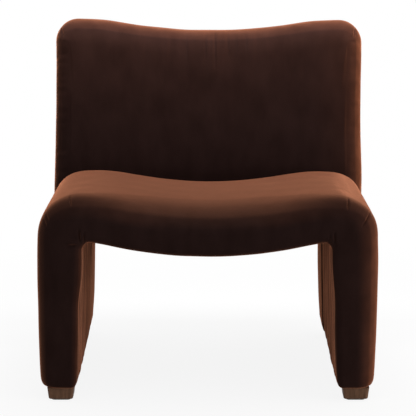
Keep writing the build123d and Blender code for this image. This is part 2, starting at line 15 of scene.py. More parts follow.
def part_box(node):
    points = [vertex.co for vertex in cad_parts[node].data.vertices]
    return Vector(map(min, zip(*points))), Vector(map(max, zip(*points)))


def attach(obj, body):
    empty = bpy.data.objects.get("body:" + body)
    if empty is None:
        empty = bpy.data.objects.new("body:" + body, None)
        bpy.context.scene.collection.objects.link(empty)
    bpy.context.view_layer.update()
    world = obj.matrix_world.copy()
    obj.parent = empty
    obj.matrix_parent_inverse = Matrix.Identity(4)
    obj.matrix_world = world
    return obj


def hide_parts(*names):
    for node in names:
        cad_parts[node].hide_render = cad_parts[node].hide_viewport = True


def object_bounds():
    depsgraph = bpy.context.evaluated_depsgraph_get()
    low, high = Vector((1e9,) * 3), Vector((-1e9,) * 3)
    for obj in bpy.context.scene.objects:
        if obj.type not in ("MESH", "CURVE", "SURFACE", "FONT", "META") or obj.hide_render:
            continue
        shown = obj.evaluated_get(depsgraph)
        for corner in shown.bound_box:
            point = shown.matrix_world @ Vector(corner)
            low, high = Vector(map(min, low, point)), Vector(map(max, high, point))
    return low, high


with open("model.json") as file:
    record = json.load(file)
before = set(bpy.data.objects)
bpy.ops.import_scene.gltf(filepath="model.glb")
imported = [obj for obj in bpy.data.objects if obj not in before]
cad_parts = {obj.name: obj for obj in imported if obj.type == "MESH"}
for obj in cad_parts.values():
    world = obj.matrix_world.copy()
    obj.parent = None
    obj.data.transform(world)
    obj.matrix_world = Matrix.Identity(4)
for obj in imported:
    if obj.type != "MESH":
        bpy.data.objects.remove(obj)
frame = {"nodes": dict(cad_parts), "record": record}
cad_low, cad_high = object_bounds()

# Boxes of the covers, from the frame
seat_low, seat_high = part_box("seat_cover")
back_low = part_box("back_cover")[0]
half_width = cad_high.x
leg_low = seat_low.z
seat_front = seat_low.y

# Forms of the two arches, as the part has them
slab = 0.090
leg_width = 0.086
saddle_dip = 0.028
saddle_swell = 0.420
seat_corner = 0.080
seat_fall = 0.022
tunnel_half = half_width - leg_width
tunnel_corner = 0.016
back_corner = 0.052
back_leg_depth = 0.145
bend_height = 0.385
front_lean = math.tan(math.radians(12.0))
rear_lean = math.tan(math.radians(4.5))

# Softer bend of the back, and the room between the two units
bend_softness = 0.016
unit_clearance = 0.0006

# Rounded edges of the padding
seat_front_round = 0.042
seat_front_reach = 0.160
shoulder_front_round = 0.050
shoulder_front_reach = 0.068
leg_front_reach = 0.046
roll_sides = (0.10, 0.30)
seat_tunnel_round = 0.015
seat_rear_round = 0.010
back_top_round = 0.050
back_top_reach = 0.036
back_side_round = 0.036
back_side_reach = 0.034
back_rear_round = 0.024
back_rear_top_round = 0.042
back_tunnel_round = 0.010
bottom_round = 0.016
least_round = 0.002

# Padding of the legs draws in towards the floor
leg_taper_top = 0.30
leg_taper_power = 1.5
outer_taper = 0.0055
inner_taper = 0.0060

# Small departures of the soft padding from the plain forms
seat_crown = 0.006
seat_nose_drop = 0.004
shoulder_crown_loss = 0.8
seat_rear_lift = 0.005
seat_rear_fill = 0.003
shoulder_fill = 0.003
tunnel_sag = 0.0035
back_top_rise = 0.0015
back_side_inset = 0.0010
back_corner_drop = 0.003
right_corner_swell = 0.003
right_leg_swell = 0.006
back_right_leg_swell = 0.009
left_leg_swell = 0.0022
leg_flare = 0.006
flare_width = 0.05
side_tilt = 0.006

# Where the departures set in and where they are full: heights, distances from the middle or from the front
left_swell_heights = (0.40, 0.33)
flare_heights = (0.19, leg_taper_top)
flare_depths = (0.15, 0.03)
shoulder_sides = (0.08, 0.24)
upright_heights = (0.38, 0.50)
back_corner_sides = (0.18, 0.28)
right_corner_heights = (0.50, 0.71)
right_corner_sides = (0.22, 0.33)

# Swelling of the padding under its cover
start_inset = 0.0015
swell_limit = 0.0015
cloth_frames = 20
cloth_pressure = 4.0
smoothing_rounds = 25
seam_hold = 0.5
held_depth = 0.004

# Unevenness of the covers, and upright pulls on the inner faces of the legs
seat_unevenness = 0.00012
seat_wave = 0.070
back_unevenness = 0.0003
back_wave = 0.080
pull_depth = 0.0010
pull_width = 0.016
pull_stretch = (1, 1, 0.06)

# Seams of the back: depth, puckers and seed of the left front, right front and rear seam
back_seams = [(0.0008, 0.0005, 21), (0.0008, 0.0008, 22), (0.0016, 0.0004, 23)]
seam_width = 0.0026
seam_reach = 0.03
seam_steps = 6
pucker_length = 0.016
pucker_away = 2.5 * seam_width
pucker_spread = 3 * seam_width

# Creases: the strength left at their ends as a share of half a wave, and soft ridges in widths of the crease
crease_end = 0.08
crease_reach = 4
crease_cuts = 2
crease_facing = -0.2
crease_ridge = 0.12
ridge_away = 2.6
ridge_spread = 1.5

# Faces that show the inside of the opening, which take pulls and a painted light brown: how far they turn to
# it, and at which heights
inside_turn = (0.90, 1.0)
inside_heights = (0.36, leg_taper_top)

# Painted light on the velvet: shares of the light rust painted as highlights on the right edges, shoulders
# and top of the back, of the brushed streaks and of the painted shade in creases, and where they set in and
# are full
forward_turn = (0.0, 0.4)
edge_power = 1.6
edge_least = 0.25
edge_sides = (0.25, 0.30)
edge_depths = (0.15, 0.02)
edge_on_left_leg = 0.5
edge_marks = 0.15
edge_mark_length = 0.030
beside_share = 0.05
beside_sides = (0.22, half_width)
seat_edge_share = 0.45
seat_beside_share = 0.2
shoulder_share = 0.05
shoulder_light_sides = (0.05, 0.20)
shoulder_turn = (0.2, 0.9)
back_edge_share = 0.85
rim_share = 0.24
rim_heights = (0.60, 0.70)
rim_turn = (0.60, 1.10)
upper_share = 0.040
upper_heights = (0.42, 0.74)
streak_share = 0.03
streak_reach = 0.12
streak_width = 0.012
streak_stretch = (1, 0, 0.04)
shade_spread = 1.3

# Camera of the photograph
camera_lens = 181.7
camera_sensor = 36.0
camera_place = (-0.0006, seat_front - 4.193, 1.122)
camera_dip = 9.675

# Mesh counts: along the saddle, round a corner and down a leg, then round a section
seat_counts = (42, 30, 46)
back_counts = (50, 18, 84)
bottom_count = 4
edge_turns = 7
seat_ring = (60, 7)
back_ring = (18, 44)
seam_turn = 52.0
seam_step = 4.0


# Lines of the arches, seen from the front

def saddle_height(x, corner, crest, inset):
    """Height of the saddle line, or of the line parallel to it at an inset, between its two corners."""
    reach = half_width - corner
    turn = 2 * math.atan(saddle_dip / reach)
    swell = saddle_swell - inset
    hollow = reach / math.sin(turn) - swell
    in_hollow = crest - inset - saddle_dip + hollow - np.sqrt(hollow ** 2 - np.minimum(x, hollow) ** 2)
    on_swell = crest - inset - swell + np.sqrt(swell ** 2 - (x - reach) ** 2)
    return np.where(x < hollow * math.sin(turn), in_hollow, on_swell)


def right_half(top_end, top_height, corner, counts):
    """Points from the middle of an arch over its right corner and down the leg, as x and z."""
    along, around, down = counts
    x = np.linspace(0, top_end, along + 1)
    top = np.stack([x, top_height(x)], axis=1)
    end_z = top[-1, 1]
    angle = np.linspace(0, math.pi / 2, around + 1)[1:]
    bend = np.stack([top_end + corner * np.sin(angle), end_z - corner + corner * np.cos(angle)], axis=1)
    under = np.linspace(0, math.pi / 2, bottom_count + 1)[1:]
    side_z = np.linspace(end_z - corner, leg_low + bottom_round, down + 1)[1:]
    z = np.concatenate([side_z, leg_low + bottom_round * (1 - np.sin(under))])
    leg = np.stack([np.full(len(z), top_end + corner), z], axis=1)
    return np.concatenate([top, bend, leg])


def both_halves(left, right):
    """The mirror image of a left half and a right half, from the left leg over to the right leg."""
    return np.concatenate([left[:0:-1] * (-1, 1), right])


def tunnel_line(drop, swell_on_right, counts):
    """The line of the opening between the legs, one slab under the seat's saddle line."""
    def height(x):
        sag = tunnel_sag * (1 - (x / tunnel_half) ** 2)
        return saddle_height(x, seat_corner, seat_high.z - drop, slab) - sag

    def half(end):
        return right_half(end - tunnel_corner, height, tunnel_corner, counts)
    return both_halves(half(tunnel_half), half(tunnel_half - swell_on_right))


def arch_line(corner, crest, counts):
    """The outer line of an arch: the saddle on top, two round corners and the outer sides."""
    def height(x):
        return saddle_height(x, corner, crest, 0)
    half = right_half(half_width - corner, height, corner, counts)
    return both_halves(half, half)


def sideways(line):
    """Unit directions at right angles to a line, to the right of its run."""
    step = np.gradient(line, axis=0)
    step /= np.linalg.norm(step, axis=1, keepdims=True)
    return np.stack([step[:, 1], -step[:, 0]], axis=1)


# Closed padded forms, swept along an arch

def bend_turns():
    """Angles round an edge, closer together at the seam."""
    even = np.linspace(0, 90, edge_turns)
    near_seam = seam_turn + seam_step * np.array([-1, 0, 1])
    apart = even[np.abs(even - seam_turn) > 2 * seam_step]
    return np.radians(np.sort(np.concatenate([apart, near_seam])))


def ring_table(face_count, edge_count):
    """Places round a section, which starts behind the outer face and runs forward.

    Each row holds the share of the inner line, the outer and inner roundings across, the share of the
    rear, and the front and rear roundings along.
    """
    turn = bend_turns()
    across = 1 - np.cos(turn)
    along = 1 - np.sin(turn)
    inwards = list(zip(across, along))
    outwards = inwards[::-1]
    rows = [(0, 0, 0, share, 1, 1) for share in np.linspace(1, 0, face_count + 1)]
    rows += [(0, a, 0, 0, b, 0) for a, b in inwards[1:]]
    rows += [(share, 1, 1, 0, 0, 0) for share in np.linspace(0, 1, edge_count + 1)[1:]]
    rows += [(1, 0, a, 0, b, 0) for a, b in outwards[1:]]
    rows += [(1, 0, 0, share, 1, 1) for share in np.linspace(0, 1, face_count + 1)[1:]]
    rows += [(1, 0, a, 1, 0, b) for a, b in inwards[1:]]
    rows += [(share, 1, 1, 1, 0, 0) for share in np.linspace(1, 0, edge_count + 1)[1:]]
    rows += [(0, a, 0, 1, 0, b) for a, b in outwards[1:-1]]
    return np.array(rows)


def arch_points(outer, inner, rounds, front, rear, ring):
    """Points of a padded arch: one ring for each pair of points on its outer and inner lines.

    The roundings are those of the outer front, inner front, outer rear and inner rear edges, and how far
    the first reaches to the rear.
    """
    into = sideways(outer)[:, None, :]
    away = -sideways(inner)[:, None, :]
    sunk = np.clip(1 - (outer[:, 1] - leg_low) / bottom_round, 0, 1)
    inset = (bottom_round * (1 - np.sqrt(1 - sunk ** 2)))[:, None]
    share, round_out, round_in, back_share, round_front, round_rear = ring.T
    front_out, front_in, rear_out, rear_in, reach = [np.broadcast_to(r, len(outer))[:, None] for r in rounds]
    out_radius = np.maximum(front_out * (1 - back_share) + rear_out * back_share - inset, least_round)
    in_radius = np.maximum(front_in * (1 - back_share) + rear_in * back_share - inset, least_round)
    front_radius = np.maximum(reach - inset, least_round) * (1 - share) + in_radius * share
    rear_radius = out_radius * (1 - share) + in_radius * share
    from_outer = outer[:, None, :] + into * (inset + round_out * out_radius)[..., None]
    from_inner = inner[:, None, :] + away * (inset + round_in * in_radius)[..., None]
    place = from_outer * (1 - share[:, None]) + from_inner * share[:, None]
    x = place[..., 0]
    z = place[..., 1]
    near = front(z) + inset + round_front * front_radius
    far = rear(z) - inset - round_rear * rear_radius
    return np.stack([x, near * (1 - back_share) + far * back_share, z], axis=-1)


def corner_indices(face_count, edge_count):
    """Ring index of the first corner, and the counts of a cap's long and short sides."""
    bend = len(bend_turns()) - 1
    before = bend // 2
    return face_count + before, face_count + 2 * before, edge_count + 2 * (bend - before)


def seam_rows(face_count, edge_count):
    """Ring indices of the seams on the outer front and outer rear edges."""
    turns = bend_turns()
    bend = len(turns) - 1
    place = int(np.argmin(np.abs(turns - math.radians(seam_turn))))
    return face_count + place, 2 * face_count + 4 * bend + 2 * edge_count - place


def cap(ring_points, first_vertex, next_vertex, counts):
    """Points and faces that close one end of a swept form with a grid of quads."""
    start, rows, columns = corner_indices(*counts)
    total = len(ring_points)
    index = np.zeros((rows + 1, columns + 1), int)
    row = np.arange(rows + 1)
    column = np.arange(columns + 1)
    index[0, :] = (start + column) % total
    index[:, columns] = (start + columns + row) % total
    index[rows, :] = (start + 2 * columns + rows - column) % total
    index[:, 0] = (start - row) % total
    a = (row / rows)[1:-1, None, None]
    b = (column / columns)[None, 1:-1, None]
    front_side, rear_side = ring_points[index[0]], ring_points[index[rows]]
    outer_side, inner_side = ring_points[index[:, 0]], ring_points[index[:, columns]]
    ruled = front_side[None, 1:-1] * (1 - a) + rear_side[None, 1:-1] * a
    cross = outer_side[1:-1, None] * (1 - b) + inner_side[1:-1, None] * b
    corners = ((front_side[0] * (1 - a) + rear_side[0] * a) * (1 - b)
               + (front_side[-1] * (1 - a) + rear_side[-1] * a) * b)
    points = (ruled + cross - corners).reshape(-1, 3)
    index += first_vertex
    index[1:-1, 1:-1] = next_vertex + np.arange(len(points)).reshape(rows - 1, columns - 1)
    faces = np.stack([index[:-1, :-1], index[:-1, 1:], index[1:, 1:], index[1:, :-1]], axis=-1)
    return points, faces.reshape(-1, 4)


def closed_piece(name, points, counts):
    """A closed mesh of quads from the rings of a swept form."""
    stations, total, _ = points.shape
    index = np.arange(stations * total).reshape(stations, total)
    following = np.roll(index, -1, axis=1)
    faces = np.stack([index[:-1], following[:-1], following[1:], index[1:]], axis=-1).reshape(-1, 4)
    vertices = points.reshape(-1, 3)
    left, left_faces = cap(points[0], 0, len(vertices), counts)
    right, right_faces = cap(points[-1], index[-1, 0], len(vertices) + len(left), counts)
    vertices = np.concatenate([vertices, left, right])
    faces = np.concatenate([faces, left_faces, right_faces[:, ::-1]])
    mesh = bpy.data.meshes.new(name)
    mesh.from_pydata(vertices.tolist(), [], faces.tolist())
    mesh.validate()
    piece = bpy.data.objects.new(name, mesh)
    bpy.context.scene.collection.objects.link(piece)
    return piece


# Reading and moving the points of a mesh

def read(mesh, what):
    values = np.empty(3 * len(mesh.vertices))
    source = mesh.vertices if what == "co" else mesh.vertex_normals
    source.foreach_get("co" if what == "co" else "vector", values)
    return values.reshape(-1, 3)


def write(mesh, points):
    mesh.vertices.foreach_set("co", points.ravel())
    mesh.update()


def shaped(piece):
    """The piece's mesh with its modifiers, as a new mesh."""
    depsgraph = bpy.context.evaluated_depsgraph_get()
    return bpy.data.meshes.new_from_object(piece.evaluated_get(depsgraph))


def smooth_step(value, none, full):
    """A soft step from 0 at one value to 1 at another, which may be the lower one."""
    t = np.clip((value - none) / (full - none), 0, 1)
    return t * t * (3 - 2 * t)


def swell(piece, held):
    """Let the cover swell over its padding, held at its seams and where it lies against something."""
    mesh = piece.data
    rest = read(mesh, "co")
    loose = (1 - held)[:, None]
    write(mesh, rest - read(mesh, "normal") * start_inset * loose)
    start = read(mesh, "co")
    group = piece.vertex_groups.new(name="held")
    for weight in np.unique(held):
        group.add(np.flatnonzero(held == weight).tolist(), float(weight), "REPLACE")
    cloth = piece.modifiers.new("swell", "CLOTH")
    settings = cloth.settings
    settings.quality = 5
    settings.mass = 0.3
    settings.tension_stiffness = 25
    settings.compression_stiffness = 25
    settings.shear_stiffness = 10
    settings.bending_stiffness = 3
    settings.use_pressure = True
    settings.uniform_pressure_force = cloth_pressure
    settings.vertex_group_mass = group.name
    settings.effector_weights.gravity = 0
    cloth.point_cache.frame_start = 1
    cloth.point_cache.frame_end = cloth_frames
    for number in range(1, cloth_frames + 1):
        bpy.context.scene.frame_set(number)
    moved = read(shaped(piece), "co") - start
    piece.modifiers.remove(cloth)
    bpy.context.scene.frame_set(1)
    normals = read(mesh, "normal")
    outwards = np.clip(np.sum(moved * normals, axis=1), 0, start_inset + swell_limit)
    write(mesh, start + normals * (even_out(mesh, outwards) * (1 - held))[:, None])


def even_out(mesh, values):
    """Values at the points of a mesh, drawn towards those of their neighbours."""
    pairs = np.empty(2 * len(mesh.edges), int)
    mesh.edges.foreach_get("vertices", pairs)
    pairs = pairs.reshape(-1, 2)
    ends = np.concatenate([pairs, pairs[:, ::-1]])
    neighbours = np.bincount(ends[:, 0], minlength=len(values))
    for _ in range(smoothing_rounds):
        total = np.bincount(ends[:, 0], weights=values[ends[:, 1]], minlength=len(values))
        values = (values + total / neighbours) / 2
    return values


def subdivide(piece):
    step = piece.modifiers.new("subdivision", "SUBSURF")
    step.levels = 1
    finer = shaped(piece)
    piece.modifiers.remove(step)
    piece.data = finer
    finer.polygons.foreach_set("use_smooth", np.ones(len(finer.polygons), bool))


# Seams, darts and creases

def unevenness(points, length, seed, count=14):
    """A soft uneven field between about -1 and 1, from waves in fixed random directions."""
    draw = np.random.RandomState(seed)
    field = np.zeros(len(points))
    for _ in range(count):
        direction = draw.normal(size=3)
        direction *= 2 * math.pi / (length * draw.uniform(0.7, 1.4) * np.linalg.norm(direction))
        field += np.sin(points @ direction + draw.uniform(0, 2 * math.pi))
    return field / math.sqrt(count)


def facing_in(points, normals):
    """How far the cover faces the opening between the legs, from 0 to 1."""
    towards_middle = -normals[:, 0] * np.sign(points[:, 0])
    return smooth_step(towards_middle, *inside_turn) * smooth_step(points[:, 2], *inside_heights)


def pulls(points, normals):
    """Upright pulls in the cover on the inner faces of the legs."""
    return pull_depth * facing_in(points, normals) * unevenness(points * pull_stretch, pull_width, seed=7)


def seam(points, line, depth, pucker, seed):
    """A sewn seam along a line of points: a narrow valley, with small puckers beside it."""
    runs = zip(line[:-1], line[1:])
    places = np.concatenate([np.linspace(a, b, seam_steps, endpoint=False) for a, b in runs])
    tree = kdtree.KDTree(len(places))
    for i, place in enumerate(places):
        tree.insert(place, i)
    tree.balance()
    low, high = places.min(axis=0) - seam_reach, places.max(axis=0) + seam_reach
    near = np.flatnonzero(np.all((points > low) & (points < high), axis=1))
    found = [tree.find(points[i])[1:] for i in near]
    order = np.array([f[0] for f in found])
    away = np.array([f[1] for f in found])
    ripple = unevenness(places[order], pucker_length, seed)
    valley = np.exp(-(away / seam_width) ** 2)
    beside = np.exp(-((away - pucker_away) / pucker_spread) ** 2)
    push = np.zeros(len(points))
    push[near] = -depth * valley + pucker * ripple * beside
    return push


def off_line(points, start, end):
    """Distance of points from a line of the front view, and the nearest place as a share of its length."""
    start, end = np.array(start), np.array(end)
    run = end - start
    flat = points[:, [0, 2]] - start
    share = np.clip(flat @ run / (run @ run), 0, 1)
    return np.linalg.norm(flat - share[:, None] * run, axis=1), share


def refine(piece, creases):
    """Split the faces at the creases, so that they can hold the narrow folds."""
    form = bmesh.new()
    form.from_mesh(piece.data)
    faces = list(form.faces)
    middles = np.array([face.calc_center_median() for face in faces])
    front = np.array([face.normal.y for face in faces]) < crease_facing
    near = np.zeros(len(faces), bool)
    for start, end, _, width in creases:
        near |= off_line(middles, start, end)[0] < crease_reach * width
    edges = {edge for i in np.flatnonzero(near & front) for edge in faces[i].edges}
    bmesh.ops.subdivide_edges(form, edges=list(edges), cuts=crease_cuts, use_grid_fill=True)
    form.to_mesh(piece.data)
    form.free()


def fade_out(share):
    """How strong a crease is along its run: full in the middle and weak at its ends."""
    return np.sin(math.pi * (crease_end + (1 - 2 * crease_end) * share))


def crease(points, normals, start, end, depth, width):
    """A crease drawn on the front: a valley between two points of the front view, with soft ridges."""
    away, share = off_line(points, start, end)
    ridges = crease_ridge * np.exp(-((away - ridge_away * width) / (ridge_spread * width)) ** 2)
    profile = ridges - np.exp(-(away / width) ** 2)
    facing = np.clip(-2 * normals[:, 1], 0, 1)
    return depth * profile * fade_out(share) * facing


# Creases of the front view: two ends as x and z, depth and width, with a depth below zero for a raised fold

# On the seat: darts on the shoulders, folds at their outer sides and at the inner corners of the opening
seat_creases = [
    ((-0.2850, 0.4260), (-0.2795, 0.4100), 0.0036, 0.0017),
    ((0.2870, 0.4200), (0.2840, 0.4020), 0.0034, 0.0018),
    ((0.3308, 0.3917), (0.3132, 0.3687), 0.0026, 0.0018),
    ((-0.3328, 0.3910), (-0.3240, 0.3750), 0.0012, 0.0022),
    ((-0.3365, 0.3800), (-0.3290, 0.3660), 0.0010, 0.0022),
    ((-0.2630, 0.3620), (-0.2610, 0.3340), 0.0042, 0.0020),
    ((-0.2520, 0.3560), (-0.2525, 0.3350), 0.0030, 0.0020),
    ((-0.2900, 0.3350), (-0.2650, 0.3365), -0.0028, 0.0034),
    ((-0.2900, 0.3275), (-0.2640, 0.3290), 0.0026, 0.0026),
    ((0.2565, 0.3560), (0.2580, 0.3300), 0.0036, 0.0020),
    ((0.2470, 0.3520), (0.2480, 0.3330), 0.0022, 0.0020),
    ((0.2830, 0.3290), (0.2630, 0.3300), -0.0014, 0.0032),
]

# On the back: pulls under the middle of its top, and tucks at its upper corners
back_creases = [
    ((-0.0480, 0.7060), (-0.0480, 0.6500), 0.0006, 0.0024),
    ((-0.0060, 0.7020), (-0.0065, 0.6560), 0.0007, 0.0024),
    ((0.0158, 0.7130), (0.0162, 0.6360), 0.0012, 0.0022),
    ((0.0475, 0.7030), (0.0470, 0.6560), 0.0008, 0.0024),
    ((0.0660, 0.7030), (0.0655, 0.6620), 0.0005, 0.0024),
    ((0.0880, 0.7060), (0.0875, 0.6640), 0.0006, 0.0024),
    ((0.3372, 0.7247), (0.3300, 0.7005), 0.0026, 0.0022),
    ((0.3400, 0.7160), (0.3320, 0.7120), 0.0010, 0.0018),
    ((-0.3360, 0.7240), (-0.3300, 0.7040), 0.0014, 0.0022),
]


# Upholstery

def draw_in_legs(points):
    """Narrow the legs towards the floor, a little more on the inside, and fill out the left one."""
    x = points[..., 0]
    z = points[..., 2]
    low = np.clip((leg_taper_top - z) / (leg_taper_top - leg_low), 0, 1) ** leg_taper_power
    across = np.clip((np.abs(x) - tunnel_half) / leg_width, 0, 1)
    fuller = left_leg_swell * across * (x < 0) * (low + smooth_step(z, *left_swell_heights))
    points[..., 0] = x + np.sign(x) * low * (inner_taper * (1 - across) - outer_taper * across) - fuller


def flare_legs(points):
    """Fill out the inner front edges of the legs towards the corners of the opening."""
    x, y, z = points[..., 0], points[..., 1], points[..., 2]
    across = np.clip((np.abs(x) - tunnel_half) / leg_width, 0, 1)
    edge = smooth_step(np.abs(x), tunnel_half - flare_width, tunnel_half) * (1 - across)
    front = smooth_step(y - seat_front, *flare_depths)
    points[..., 0] = x - np.sign(x) * leg_flare * edge * front * smooth_step(z, *flare_heights)


def tilt(points):
    """Set the padding a little higher on the left than on the right."""
    points[..., 2] -= side_tilt * points[..., 0] * smooth_step(points[..., 2], leg_taper_top, seat_high.z)


def seat_points():
    outer = arch_line(seat_corner, seat_high.z, seat_counts)
    inner = tunnel_line(0, right_leg_swell, seat_counts)
    inwards = sideways(outer)
    aside = smooth_step(np.abs(outer[:, 0]), *roll_sides)
    top_reach = seat_front_reach + (shoulder_front_reach - seat_front_reach) * aside
    upward = inwards[:, 1] ** 2
    reach = leg_front_reach + (top_reach - leg_front_reach) * upward
    front_round = seat_front_round + (shoulder_front_round - seat_front_round) * aside * upward
    outer -= inwards * (shoulder_fill * (2 * inwards[:, 0] * inwards[:, 1]) ** 2)[:, None]
    rear = seat_high.y - unit_clearance
    rounds = (front_round, seat_tunnel_round, seat_rear_round, seat_rear_round, reach)
    points = arch_points(outer, inner, rounds, lambda z: seat_front, lambda z: rear, ring_table(*seat_ring))
    settle_seat(points)
    draw_in_legs(points)
    flare_legs(points)
    tilt(points)
    return points


def settle_seat(points):
    """Let the seat fall to the rear, with a soft crown and a lower nose on top."""
    height = points[..., 2].copy()
    behind = (points[..., 1] - seat_front) / (seat_high.y - seat_front)
    on_top = smooth_step(height, seat_high.z - slab, seat_high.z - slab / 3)
    level = 1 - shoulder_crown_loss * smooth_step(np.abs(points[..., 0]), *shoulder_sides)
    crown = level * (seat_crown * np.sin(math.pi * behind) - seat_nose_drop * (1 - behind) ** 4)
    filled = np.clip(1 - (points[..., 0] / tunnel_half) ** 2, 0, 1)
    lift = (seat_rear_lift + seat_rear_fill * filled) * behind ** 2
    fall = seat_fall * behind * smooth_step(height, leg_low, leg_taper_top)
    points[..., 2] += on_top * (crown + lift) - fall


def leaning(height, lean):
    """How far a side line of the back has leaned to the rear at a height, with a soft bend."""
    return lean * bend_softness * np.logaddexp(0, (height - bend_height) / bend_softness)


def back_front(height):
    return back_low.y + unit_clearance + leaning(height, front_lean)


def back_rear(height):
    return back_low.y + back_leg_depth + leaning(height, rear_lean)


def back_points():
    outer = arch_line(back_corner, cad_high.z + back_top_rise, back_counts)
    inner = tunnel_line(seat_fall, back_right_leg_swell, back_counts)
    upward = sideways(outer)[:, 1] ** 2
    front_round = back_side_round + (back_top_round - back_side_round) * upward
    rear_round = back_rear_round + (back_rear_top_round - back_rear_round) * upward
    reach = back_side_reach + (back_top_reach - back_side_reach) * upward
    rounds = (front_round, back_tunnel_round, rear_round, back_tunnel_round, reach)
    points = arch_points(outer, inner, rounds, back_front, back_rear, ring_table(*back_ring))
    draw_in_legs(points)
    tilt(points)
    shape_corners(points)
    return points


def shape_corners(points):
    """Draw in the upright sides of the back, lower its corners and fill out the right one."""
    high = smooth_step(points[..., 2], *upright_heights)
    points[..., 0] *= 1 - back_side_inset / half_width * high
    points[..., 2] -= back_corner_drop * high * smooth_step(np.abs(points[..., 0]), *back_corner_sides)
    near_top = smooth_step(points[..., 2], *right_corner_heights)
    near_right = smooth_step(points[..., 0], *right_corner_sides)
    points[..., 0] += right_corner_swell * near_top * near_right


def upholstery(name, points, counts, seams, lies_against):
    """A padded piece from its rings, swollen by cloth and made finer, with the lines of its seams.

    Each seam is a pair: its place in the ring, and the stations that it runs along.
    """
    piece = closed_piece(name, points, counts)
    base = read(piece.data, "co")
    held = np.where(lies_against(base) | (base[:, 2] < leg_low + bottom_round / 2), 1.0, 0.0)
    places = [np.arange(len(points))[run] * points.shape[1] + row for row, run in seams]
    for place in places:
        held[place] = seam_hold
    swell(piece, held)
    settled = read(piece.data, "co")
    subdivide(piece)
    return piece, [settled[place] for place in places]


def push_out(piece, pushes):
    """Move each point of a piece along its normal."""
    points = read(piece.data, "co")
    write(piece.data, points + read(piece.data, "normal") * pushes[:, None])


def store(piece, name, values):
    """Keep a value for each point of a piece, for its material."""
    piece.data.attributes.new(name, "FLOAT", "POINT").data.foreach_set("value", np.clip(values, 0, 1))


def in_creases(points, creases):
    """How deep in the shade of a crease each point lies, from 0 to 1."""
    shade = np.zeros(len(points))
    deepest = max(depth for _, _, depth, _ in creases)
    for start, end, depth, width in creases:
        away, share = off_line(points, start, end)
        strength = math.sqrt(depth / deepest) * fade_out(share)
        shade += strength * np.exp(-(away / (shade_spread * width)) ** 2)
    return np.clip(shade, 0, 1)


def right_edge_painted_light(points, normals, behind):
    """Painted highlight where the cover turns to the right, also on the inner face of the left leg, fading
    to the rear and with uneven marks in it, and a faint painted highlight beside it.
    """
    forward = smooth_step(-normals[:, 1], *forward_turn)
    # Painted highlight, stronger the more a face turns to the right
    turned = np.clip(normals[:, 0], 0, 1) ** edge_power * (1 - np.clip(normals[:, 2], 0, 1))
    turned *= (edge_least + (1 - edge_least) * forward) * smooth_step(behind, *edge_depths)
    left_leg = (points[:, 0] < 0) * smooth_step(points[:, 2], *inside_heights)
    place = smooth_step(points[:, 0], *edge_sides) + edge_on_left_leg * left_leg
    turned *= place * (1 + edge_marks * unevenness(points, edge_mark_length, seed=9))
    return turned, beside_share * forward * smooth_step(points[:, 0], *beside_sides)


def seat_painted_light(points, normals):
    """Painted highlight on the seat unit: on its right edge and over its shoulders."""
    turned, beside = right_edge_painted_light(points, normals, points[:, 1] - seat_front)
    aside = smooth_step(np.abs(points[:, 0]), *shoulder_light_sides)
    # Painted highlight over the shoulders, where the cover faces up
    shoulders = aside * smooth_step(normals[:, 2], *shoulder_turn)
    return seat_edge_share * turned + seat_beside_share * beside + shoulder_share * shoulders


def back_painted_light_and_streaks(points, normals):
    """Painted light on the back: highlights on its right edge, its top rim and its upper face, and brushed
    streaks, with painted shade in the creases that takes out the rim, upper face and streak shares.
    """
    turned, beside = right_edge_painted_light(points, normals, points[:, 1] - back_front(points[:, 2]))
    high = smooth_step(points[:, 2], *rim_heights)
    # Painted highlight on the top rim and a painted light upper face
    rim = rim_share * high * smooth_step(normals[:, 2], *rim_turn)
    upper = upper_share * smooth_step(points[:, 2], *upper_heights)
    middle = high * np.exp(-(points[:, 0] / streak_reach) ** 2)
    marks = np.clip(unevenness(points * streak_stretch, streak_width, seed=13), 0, 2)
    streaks = streak_share * middle * marks
    # Painted shade: the painted light and streaks are taken out along the creases
    unshaded_by_creases = 1 - in_creases(points, back_creases)
    return back_edge_share * turned + beside + (rim + upper + streaks) * unshaded_by_creases


def detail(piece, creases, pushes_at, painted_light_at):
    """Crease a cover, move its points by further pushes, and keep where light and shade are painted on it
    and where its inner faces get a painted light brown.
    """
    refine(piece, creases)
    points = read(piece.data, "co")
    normals = read(piece.data, "normal")
    pushes = pushes_at(points, normals)
    for start, end, depth, width in creases:
        pushes += crease(points, normals, start, end, depth, width)
    # Painted light: highlights on the edges, shoulders and top, with painted shade in the creases
    store(piece, "pile_and_painted_light", painted_light_at(points, normals))
    # Painted light: a light brown on the inner faces of the legs
    store(piece, "inside", facing_in(points, normals))
    push_out(piece, pushes)


def seat_upholstery():
    def against_back(points):
        return points[:, 1] > seat_high.y - seat_rear_round / 3

    def pushes_at(points, normals):
        return seat_unevenness * unevenness(points, seat_wave, seed=3) + pulls(points, normals)

    piece = upholstery("seat_upholstery", seat_points(), seat_ring, [], against_back)[0]
    detail(piece, seat_creases, pushes_at, seat_painted_light)
    return piece


def back_upholstery():
    def against_seat(points):
        return (points[:, 1] < back_low.y + held_depth) & (points[:, 2] < bend_height)

    def pushes_at(points, normals):
        pushes = back_unevenness * unevenness(points, back_wave, seed=5)
        for line, (depth, pucker, seed) in zip(lines, back_seams):
            pushes += seam(points, line, depth, pucker, seed)
        return pushes

    outer_front, outer_rear = seam_rows(*back_ring)
    down_side = back_counts[2] + bottom_count + back_counts[1] // 2
    left_side = (outer_front, slice(down_side))
    right_side = (outer_front, slice(-down_side, None))
    seams = [left_side, right_side, (outer_rear, slice(None))]
    piece, lines = upholstery("back_upholstery", back_points(), back_ring, seams, against_seat)
    detail(piece, back_creases, pushes_at, back_painted_light_and_streaks)
    return piece


# Material nodes

